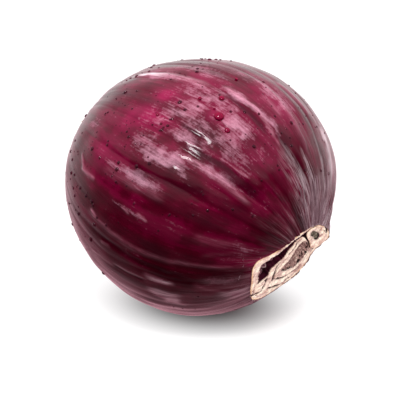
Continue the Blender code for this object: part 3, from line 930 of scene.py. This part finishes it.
# %% Crumpled inner leaves
group, given = start_group(
    "crumpled_leaves",
    {"Crumple": "Float", "Wall": "Float", "Height": "Float", "Seed": "Int", "Material": "Material"},
)
crumpled = pushed_about(group, given, "Crumple", 420.0, 3.0)
wall = add_node(
    group, "GeometryNodeCurvePrimitiveQuadrilateral", {"Width": given["Wall"], "Height": given["Height"]}, 0
)
leaves = add_node(group, "GeometryNodeCurveToMesh", {"Curve": crumpled, "Profile Curve": wall, "Fill Caps": True}, 0)
finish_group(group, given, leaves)

# How high the leaves' middle lines stand above the floor, and how much they rise and fall, in millimetres
LEAF_RISE = 0.75
LEAF_WAVE = 0.35
heart_edge = closed_curve(THIRD_SCALE_INSIDE, 90)
middle = heart_edge.mean(axis=0)
lines = []
for share, turn_from, turn_to in (
    (0.94, 0, 90), (0.80, 5, 62), (0.80, 66, 88), (0.66, 20, 95), (0.52, 0, 40), (0.52, 48, 84), (0.38, 10, 80),
    (0.26, 0, 60), (0.14, 20, 70), (0.88, 30, 70), (0.73, 60, 110), (0.59, 5, 50), (0.45, 50, 100), (0.32, 20, 66),
):  # fmt: skip
    steps_round = np.arange(turn_from, turn_to)
    line = middle + (heart_edge[steps_round % 90] - middle) * share
    line[:, 2] += -HEART_DROP + LEAF_RISE + LEAF_WAVE * np.sin(steps_round * 0.7 + share * 20)
    lines.append(on_cut(line) + BULB_CENTRE)
leaf_lines = lines_mesh("leaf_lines", lines)


def dried_leaf(name, dark, middling, pale):
    """Withered leaf with flecks of 0.6 mm: grey where fibres stand free, brown where sap has dried on them."""
    material, tree = blank_material(name)
    place = add_node(tree, "ShaderNodeTexCoord", take="Object")
    flecks = add_node(tree, NOISE, {"Vector": place, "Scale": 950.0, "Detail": 5.0, "Roughness": 0.75}, "Fac")
    shades = ((0.34, dark), (0.68, pale), (0.50, middling))
    paper = add_node(tree, "ShaderNodeValToRGB", {"Fac": flecks}, "Color", stops=shades)
    creased = add_node(tree, "ShaderNodeBump", {"Height": flecks, "Distance": 0.0004, "Strength": 0.8}, "Normal")
    look = {"Base Color": paper, "Roughness": 0.8, "Normal": creased}
    surface = add_node(tree, "ShaderNodeBsdfPrincipled", look, "BSDF")
    add_node(tree, "ShaderNodeOutputMaterial", {"Surface": surface})
    return material


dead_leaf = dried_leaf("dead_leaf_fibre", "#3a2023", "#86655f", "#cdb5a6")
# The bundle's floor is a darker copy of the dead leaf: painted shade below the cut
shaded_sunken_leaf = dried_leaf("shaded_sunken_leaf_fibre", "#140a0c", "#35201f", "#6b554c")
hollow_leaf = dried_leaf("hollow_leaf_fibre", "#1a0b10", "#5a2336", "#a89f9a")
shoot_leaf = dried_leaf("shoot_leaf_fibre", "#1c1413", "#5f554a", "#a39888")
for piece, material in ((heart, shaded_sunken_leaf), (shoot_heart, shoot_leaf), (gap_floor, hollow_leaf)):
    piece.data.materials.append(material)
sizes = {"Crumple": 0.0016, "Wall": 0.00028, "Height": 0.0013, "Seed": 3, "Material": dead_leaf}
crumpled_leaves = grow("crumpled_leaves", group, leaf_lines, sizes)

# %% [markdown]
# ## Dry threads and hairs
# The outermost skin has dried at the neck to threads, its old veins, that lie along the surface and end at
# the rim. A few stand off it as stray hairs. Each is drawn as a line of points on the skin. Geometry Nodes
# wobble the lines and sweep a thin round section along them that tapers to its ends.

# %% Thread lines
group, given = start_group(
    "threads", {"Thickness": "Float", "Wobble": "Float", "Seed": "Int", "Material": "Material"}
)
wobbly = pushed_about(group, given, "Wobble", 300.0, 2.0)
along = add_node(group, "GeometryNodeSplineParameter", take="Factor")
taper = add_node(group, "ShaderNodeFloatCurve", {"Value": along}, 0)
curve = taper.node.mapping.curves[0]
curve.points[0].location = (0.0, 0.25)
curve.points[1].location = (1.0, 0.8)
curve.points.new(0.5, 1.0)
section = add_node(group, "GeometryNodeCurvePrimitiveCircle", {"Resolution": 5, "Radius": given["Thickness"]}, 0)
swept = {"Curve": wobbly, "Profile Curve": section, "Scale": taper, "Fill Caps": True}
threads = add_node(group, "GeometryNodeCurveToMesh", swept, 0)
finish_group(group, given, add_node(group, "GeometryNodeSetShadeSmooth", {0: threads}, 0))


def thread_mesh(name, count, spans, seed, lift):
    """Lines on the skin that run along its columns and end near the rim."""
    pick = np.random.default_rng(seed)
    lines = []
    for _ in range(count):
        first, last = spans[pick.integers(len(spans))]
        column = pick.uniform(first, last)
        lean = pick.normal(0, 0.06)
        start = SKIN_ROWS - 1 - pick.integers(5, 26)
        rows = np.arange(start, SKIN_ROWS - pick.integers(0, 3))
        turn = (np.round((column + lean * (rows - start) + 180.0) / 360.0 * COLUMNS) % COLUMNS).astype(int)
        line = skin[rows, turn]
        away = line / np.linalg.norm(line, axis=-1, keepdims=True)
        lines.append(line + away * lift * pick.uniform(0.2, 1.0) * MM + BULB_CENTRE)
    return lines_mesh(name, lines)


thread_material = bpy.data.materials.new("dry_onion_threads")
thread_material.use_nodes = True
surface = thread_material.node_tree.nodes["Principled BSDF"]
surface.inputs["Base Color"].default_value = linear("#8d6f78")
surface.inputs["Roughness"].default_value = 0.65
upper_side = [(-105, -60), (-90, -45), (-60, -30)]
sizes = {"Thickness": 0.00011, "Wobble": 0.0007, "Seed": 5, "Material": thread_material}
neck_threads = grow("neck_threads", group, thread_mesh("thread_lines", 44, upper_side, 61, 0.03), sizes)
round_about = [(75, 245)]
sizes = {"Thickness": 0.00005, "Wobble": 0.0006, "Seed": 8, "Material": thread_material}
more_threads = grow("more_neck_threads", group, thread_mesh("more_lines", 26, round_about, 62, 0.03), sizes)

# %% Stray hairs
# Longitude, rows back from the rim, length in millimetres, and how far it leans sideways
HAIRS = [(29, 10, 2.6, 0.9), (33, 7, 3.4, 0.2), (41, 6, 2.2, -0.6), (25, 4, 1.8, 0.5), (37, 2, 1.6, 0.8)]
share = np.linspace(0, 1, 9)[:, None]
lines = []
for longitude, row_back, length, sideways in HAIRS:
    root_point = skin[SKIN_ROWS - 1 - row_back, int((longitude + 180) / 360 * COLUMNS)]
    away = root_point / np.linalg.norm(root_point)
    side = np.cross(away, AXIS)
    bend = away * (0.9 * share) - AXIS * (0.5 * share) + side * sideways * share**2
    lines.append(root_point + bend * length * MM + BULB_CENTRE)
sizes = {"Thickness": 0.000045, "Wobble": 0.0009, "Seed": 9, "Material": thread_material}
stray_hairs = grow("stray_hairs", group, lines_mesh("hair_lines", lines), sizes)

# %% [markdown]
# ## The root plate
# At the other end the leaves grew from a flat stem, the root plate. It has corked over: a low brown rough
# disc in a dimple of the skin, with the stubs of its dead roots, densest round its edge.

# %% Root plate
PLATE_RADIUS = 6.5
PLATE_POINTS = 96
# From under the skin, over the plate's edge to its middle: share of the radius, and rise in millimetres
PLATE_PROFILE = [
    (1.10, -1.2), (1.06, -0.2), (1.03, 0.4), (0.97, 0.8), (0.88, 1.0), (0.74, 1.05), (0.6, 1.0), (0.46, 0.9),
    (0.32, 0.8), (0.18, 0.75), (0.08, 0.75),
]  # fmt: skip
plate_turns = np.arange(PLATE_POINTS) / PLATE_POINTS * 2 * math.pi
noise = np.random.default_rng(71)
plate_middle = -AXIS * (ROOT_REACH - DIMPLE_DEPTH)
plate_rows = []
for share, rise in PLATE_PROFILE:
    uneven = noise.normal(0, 1, PLATE_POINTS)
    uneven = (uneven + np.roll(uneven, 1) + np.roll(uneven, 2)) / 2
    radius = PLATE_RADIUS * share * (1 + 0.05 * np.sin(plate_turns * 3 + 1) + 0.03 * np.sin(plate_turns * 7)) * MM
    ring = radius[:, None] * (np.cos(plate_turns)[:, None] * DOWNWARD + np.sin(plate_turns)[:, None] * ACROSS)
    out = (rise + 0.10 * uneven * (rise > 0)) * MM
    plate_rows.append(plate_middle + ring - AXIS * np.atleast_1d(out)[:, None])
root_plate = new_object("root_plate", rings_mesh("root_plate", np.array(plate_rows) + BULB_CENTRE))
cork, tree = blank_material("root_cork")
place = add_node(tree, "ShaderNodeTexCoord", take="Object")
# Crumbs of cork of 0.7 mm
crumbs = add_node(tree, NOISE, {"Vector": place, "Scale": 1400.0, "Detail": 5.0, "Roughness": 0.7}, "Fac")
brown = ((0.35, "#3d261b"), (0.70, "#b08d68"), (0.5, "#7d5a40"))
brown = add_node(tree, "ShaderNodeValToRGB", {"Fac": crumbs}, "Color", stops=brown)
rough = add_node(tree, "ShaderNodeBump", {"Height": crumbs, "Distance": 0.0005, "Strength": 0.8}, "Normal")
look = {"Base Color": brown, "Roughness": 0.85, "Normal": rough}
surface = add_node(tree, "ShaderNodeBsdfPrincipled", look, "BSDF")
add_node(tree, "ShaderNodeOutputMaterial", {"Surface": surface})
root_plate.data.materials.append(cork)

# %% Root stubs
group, given = start_group(
    "root_stubs",
    {"Per square metre": "Float", "Length": "Float", "Thickness": "Float", "Seed": "Int", "Material": "Material"},
)
scatter = {"Mesh": given["Geometry"], "Density": given["Per square metre"], "Seed": given["Seed"]}
stems = add_node(group, "GeometryNodeDistributePointsOnFaces", scatter)
bent = {
    "Resolution": 7, "Start": (0, 0, -0.15), "Start Handle": (0, 0, 0.4), "End Handle": (0.1, 0.05, 0.8),
    "End": (0.35, 0.1, 1.0),
}  # fmt: skip
stub = add_node(group, "GeometryNodeCurvePrimitiveBezierSegment", bent, 0)
along = add_node(group, "GeometryNodeSplineParameter", take="Factor")
narrowing = add_node(group, MAP, {"Value": along, "To Min": 1.0, "To Max": 0.35}, 0)
section = add_node(group, "GeometryNodeCurvePrimitiveCircle", {"Resolution": 6, "Radius": given["Thickness"]}, 0)
swept = {"Curve": stub, "Profile Curve": section, "Scale": narrowing, "Fill Caps": True}
stub = add_node(group, "GeometryNodeCurveToMesh", swept, 0)
size = add_node(group, "FunctionNodeRandomValue", {2: 0.4, 3: 1.3, "Seed": 1}, 1, data_type="FLOAT")
size = add_node(group, MATH, {0: size, 1: given["Length"]}, 0, operation="MULTIPLY")
any_turn = {0: (-0.5, -0.5, -3.1), 1: (0.5, 0.5, 3.1), "Seed": 2}
turned = add_node(group, "FunctionNodeRandomValue", any_turn, 0, data_type="FLOAT_VECTOR")
turned = add_node(group, "FunctionNodeEulerToRotation", {0: turned}, 0)
facing = {0: stems.outputs["Rotation"], 1: turned}
facing = add_node(group, "FunctionNodeRotateRotation", facing, 0, rotation_space="LOCAL")
roots = {"Points": stems.outputs["Points"], "Instance": stub, "Rotation": facing, "Scale": size}
stubs = add_node(group, "GeometryNodeInstanceOnPoints", roots, 0)
finish_group(group, given, add_node(group, "GeometryNodeSetShadeSmooth", {0: stubs}, 0))
plate_top = band_mesh("plate_top", np.array(plate_rows)[3:7] + BULB_CENTRE, flip=True)
sizes = {"Per square metre": 900000.0, "Length": 0.0016, "Thickness": 0.2, "Seed": 4, "Material": cork}
root_stubs = grow("root_stubs", group, plate_top, sizes)

# %% [markdown]
# ## Water
# Tiny drops stand all over the wet skin, most of them on its upper and left sides, and a few larger beads
# have gathered in front. A drop on a waxy surface is a low dome. Geometry Nodes scatter the small ones on
# a copy of the skin where its `drops` value says, each a dome with few faces. The beads are placed one by
# one, as domes with more faces. They have a redder water of their own, whose magenta is painted light:
# the glow of the light that gathers in them.

# %% Drops
DROP_FLATNESS = 0.62
group, given = start_group(
    "drops",
    {"Per square metre": "Float", "Smallest": "Float", "Largest": "Float", "Seed": "Int", "Material": "Material"},
)
where = add_node(group, "GeometryNodeInputNamedAttribute", {"Name": "drops"}, 0, data_type="FLOAT")
density = add_node(group, MATH, {0: where, 1: given["Per square metre"]}, 0, operation="MULTIPLY")
scatter = {"Mesh": given["Geometry"], "Density": density, "Seed": given["Seed"]}
spots = add_node(group, "GeometryNodeDistributePointsOnFaces", scatter)
ball = add_node(group, "GeometryNodeMeshIcoSphere", {"Radius": 1.0, "Subdivisions": 2}, 0)
dome = add_node(group, "GeometryNodeTransform", {0: ball, "Scale": (1.0, 1.0, DROP_FLATNESS)}, 0)
chance = add_node(group, "FunctionNodeRandomValue", {2: 0.0, 3: 1.0, "Seed": 1}, 1, data_type="FLOAT")
few_large = add_node(group, MATH, {0: chance, 1: 3.0}, 0, operation="POWER")
radius = {"Value": few_large, "To Min": given["Smallest"], "To Max": given["Largest"]}
radius = add_node(group, MAP, radius, 0)
drops = {"Points": spots.outputs["Points"], "Instance": dome, "Rotation": spots.outputs["Rotation"], "Scale": radius}
drops = add_node(group, "GeometryNodeInstanceOnPoints", drops, 0)
finish_group(group, given, add_node(group, "GeometryNodeSetShadeSmooth", {0: drops}, 0))

coarse = 4
keep_rows, keep_columns = np.arange(12, SKIN_ROWS - 8, coarse), np.arange(0, COLUMNS, coarse)
wet_points = skin[np.ix_(keep_rows, keep_columns)]
wet_patch = band_mesh("wet_patch", wet_points + BULB_CENTRE)
lon, lat = longitude_grid[np.ix_(keep_rows, keep_columns)], latitude_grid[np.ix_(keep_rows, keep_columns)]
above_table = smooth_step((wet_points[..., 2] - FLOOR) / 0.02)
topside = smooth_step((wet_points[..., 2] + 0.01) / 0.035)
rootward = smooth_step((-5 - lat) / 30)
clusters = np.clip(0.5 + 1.2 * soft_noise(lon, lat, 30, 16, 81), 0, 2)
likely = above_table * clusters * (0.12 + 0.5 * topside + 0.7 * rootward)
keep_values(wet_patch, "drops", likely)

water = bpy.data.materials.new("water")
water.use_nodes = True
surface = water.node_tree.nodes["Principled BSDF"]
surface.inputs["Base Color"].default_value = linear("#743048")
surface.inputs["Roughness"].default_value = 0.0
surface.inputs["IOR"].default_value = 1.33
surface.inputs["Transmission Weight"].default_value = 0.85
# The beads' redder water is painted light: the glow of light gathered in them
bead_glow_water = water.copy()
bead_glow_water.name = "painted_glow_water"
surface = bead_glow_water.node_tree.nodes["Principled BSDF"]
surface.inputs["Base Color"].default_value = linear("#980b40")
surface.inputs["Transmission Weight"].default_value = 0.6
sizes = {"Per square metre": 90000.0, "Smallest": 0.0002, "Largest": 0.00072, "Seed": 12, "Material": water}
small_drops = grow("small_drops", group, wet_patch, sizes)

# %% Larger beads
# Longitude, latitude and radius in millimetres
BEADS = [
    (-31, 7, 1.5), (-28, 14, 0.85), (-39.5, 1.5, 0.9), (-34, -5, 0.55), (-55, -2, 0.5), (-18, -14, 0.5), (-33, 3, 0.4),
]  # fmt: skip
BEAD_FLATNESS = 0.55
bead_mesh = bmesh.new()
for longitude, latitude, radius in BEADS:
    spot = plain_bulb(np.array(float(latitude)), np.array(float(longitude)))
    away = spot / np.linalg.norm(spot)
    lift = float(relief(np.array([float(longitude)]), np.array([float(latitude)]))[0]) * MM
    turn = Vector(away).to_track_quat("Z", "Y").to_matrix().to_4x4()
    turn.translation = Vector(spot + away * lift + BULB_CENTRE)
    bead = bmesh.ops.create_icosphere(bead_mesh, subdivisions=3, radius=radius * MM)["verts"]
    bmesh.ops.scale(bead_mesh, vec=(1.0, 1.0, BEAD_FLATNESS), verts=bead)
    bmesh.ops.transform(bead_mesh, matrix=turn, verts=bead)
mesh = bpy.data.meshes.new("larger_beads")
bead_mesh.to_mesh(mesh)
bead_mesh.free()
mesh.materials.append(bead_glow_water)
larger_beads = new_object("larger_beads", mesh)
print("beads:", len(BEADS))

# %% [markdown]
# ## Floor, light and surroundings
# The onion lies on a white table under a small softbox in front, whose gleam the wet skin shows, and a big
# one overhead. A third, low on the neck's side, lights only the cut flesh and stands for what a white table
# throws back, and a weak fourth lifts the neck's side of the skin. Behind, everything is white, which the
# skin shows at its rim as a grey gloss. In front and below there is little light, so the lower front stays
# dark. The table is left out of the skin's reflections for that reason. It glows a little everywhere but
# in an oval under the bulb, which keeps it white and its contact shadow soft.

# %% Floor
# The shade under the bulb is full to the first of these distances from the resting spot, and gone at the second
SHADE_CORE = 0.007
SHADE_EDGE = 0.031
floor_mesh = bpy.data.meshes.new("floor")
floor_mesh.from_pydata([(-3, -3, 0), (3, -3, 0), (3, 3, 0), (-3, 3, 0)], [], [(0, 1, 2, 3)])
floor = new_object("floor", floor_mesh, smooth=False)
floor.visible_glossy = False
floor.visible_diffuse = False
floor.visible_shadow = False
floor_material, tree = blank_material("white_table")
place = add_node(tree, "ShaderNodeTexCoord", take="Object")
oval = {"Vector": place, "Rotation": (0.0, 0.0, -CAMERA_TURN), "Scale": (0.80, 1.0, 1.0)}
oval = add_node(tree, "ShaderNodeMapping", oval, 0)
away = add_node(tree, "ShaderNodeVectorMath", {0: oval}, "Value", operation="LENGTH")
far = {"Value": away, "From Min": SHADE_CORE, "From Max": SHADE_EDGE, "To Min": 0.05, "To Max": 0.97}
far = add_node(tree, MAP, far, 0, interpolation_type="SMOOTHSTEP")
table = {
    "Base Color": linear("#8c8c8c"), "Roughness": 0.9, "Specular IOR Level": 0.1,
    "Emission Color": (1, 1, 1, 1), "Emission Strength": far,
}  # fmt: skip
surface = add_node(tree, "ShaderNodeBsdfPrincipled", table, "BSDF")
add_node(tree, "ShaderNodeOutputMaterial", {"Surface": surface})
floor_mesh.materials.append(floor_material)

# %% Softboxes
def softbox(name, from_bulb, away, size, watts, gleams=False):
    """A soft light that faces the bulb from a direction, and shows in its gloss only if it gleams."""
    light = bpy.data.lights.new(name, "AREA")
    light.shape = "RECTANGLE"
    light.size, light.size_y = size
    light.energy = watts
    lamp = bpy.data.objects.new(name, light)
    bpy.context.scene.collection.objects.link(lamp)
    lamp.location = Vector(BULB_CENTRE) + from_bulb.normalized() * away
    lamp.rotation_euler = from_bulb.to_track_quat("Z", "Y").to_euler()
    lamp.visible_glossy = gleams
    return lamp


from_front = camera_right * -0.05 + camera_up * 0.62 + camera_back * 0.76
key = softbox("key", from_front, 0.9, (0.30, 0.18), 5.0, gleams=True)
overhead = softbox("overhead", Vector((0.05, -0.12, 1.0)), 1.0, (1.0, 1.0), 18.0)
bounce = softbox("bounce", Vector((1.0, -0.2, -0.15)), 0.5, (0.3, 0.3), 3.2)
side = softbox("side", Vector((1.0, 0.3, 0.5)), 0.6, (0.4, 0.4), 0.7)
print("lights:", key.name, overhead.name, bounce.name, side.name)

# %% Surroundings
world = bpy.data.worlds.new("studio")
bpy.context.scene.world = world
world.use_nodes = True
tree = world.node_tree
tree.nodes.clear()
facing = add_node(tree, "ShaderNodeTexCoord", take="Generated")
behind = add_node(tree, "ShaderNodeVectorMath", {0: facing, 1: tuple(-camera_back)}, "Value", operation="DOT_PRODUCT")
above = add_node(tree, "ShaderNodeSeparateXYZ", {0: facing}, "Z")
matt = add_node(tree, "ShaderNodeLightPath", take="Is Diffuse Ray")
not_below = add_node(tree, MAP, {"Value": above, "From Min": -0.9, "From Max": -0.2, "To Min": 0.75, "To Max": 0.85}, 0)
blush = add_node(tree, MAP, {"Value": above, "From Min": -0.5, "From Max": 0.1}, 0)
tint = add_node(tree, MIX, {0: blush, 6: linear("#e8a8b8"), 7: linear("#ffffff")}, 2, data_type="RGBA")
white_behind = add_node(tree, MAP, {"Value": behind, "From Min": -0.1, "From Max": 0.75, "To Min": 0.02}, 0)
white_behind = add_node(tree, MATH, {0: white_behind, 1: not_below}, 0, operation="MULTIPLY")
panel = add_node(tree, MAP, {"Value": matt, "To Min": 0.7, "To Max": 0.4}, 0)
pinker = add_node(tree, MAP, {"Value": above, "From Min": 0.1, "From Max": 0.3}, 0)
tint = add_node(tree, MIX, {0: pinker, 6: tint, 7: linear("#ffe3ec")}, 2, data_type="RGBA")
ceiling = add_node(tree, MAP, {"Value": above, "From Min": 0.28, "From Max": 0.42, "To Max": panel}, 0)
strength = add_node(tree, MATH, {0: white_behind, 1: ceiling}, 0, operation="MAXIMUM")
from_table = add_node(tree, MAP, {"Value": above, "From Min": -0.6, "From Max": 0.0, "To Min": 0.5, "To Max": 0.1}, 0)
all_round = add_node(tree, MATH, {0: matt, 1: from_table}, 0, operation="MULTIPLY")
strength = add_node(tree, MATH, {0: strength, 1: all_round}, 0, operation="MAXIMUM")
lit = add_node(tree, "ShaderNodeBackground", {"Color": tint, "Strength": strength}, 0)
white = add_node(tree, "ShaderNodeBackground", {"Color": (1, 1, 1, 1), "Strength": 1.0}, 0)
to_camera = add_node(tree, "ShaderNodeLightPath", take="Is Camera Ray")
seen = add_node(tree, "ShaderNodeMixShader", {0: to_camera, 1: lit, 2: white}, 0)
add_node(tree, "ShaderNodeOutputWorld", {"Surface": seen})
bpy.context.scene.view_settings.view_transform = "Standard"
print("the surroundings are white behind and above")

# %% [markdown]
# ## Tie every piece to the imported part
# Everything here is one grown thing, so each piece rides on the one body and stands for the bulb.

# %% Hand over
slots = {
    "skin": [bulb_skin, neck_threads, more_threads, stray_hairs],
    "cut_flesh": leaf_bases + [heart, shoot_heart, gap_floor, crumpled_leaves],
    "root_cork": [root_plate, root_stubs],
    "water": [small_drops, larger_beads],
}
for slot, pieces in slots.items():
    for piece in pieces:
        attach(piece, "root")
        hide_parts("bulb")
for lamp, lit in ((overhead, sum(slots.values(), [])), (bounce, slots["cut_flesh"]), (side, slots["skin"])):
    receivers = bpy.data.collections.new("lit_by_" + lamp.name)
    for piece in lit:
        receivers.objects.link(piece)
    lamp.light_linking.receiver_collection = receivers
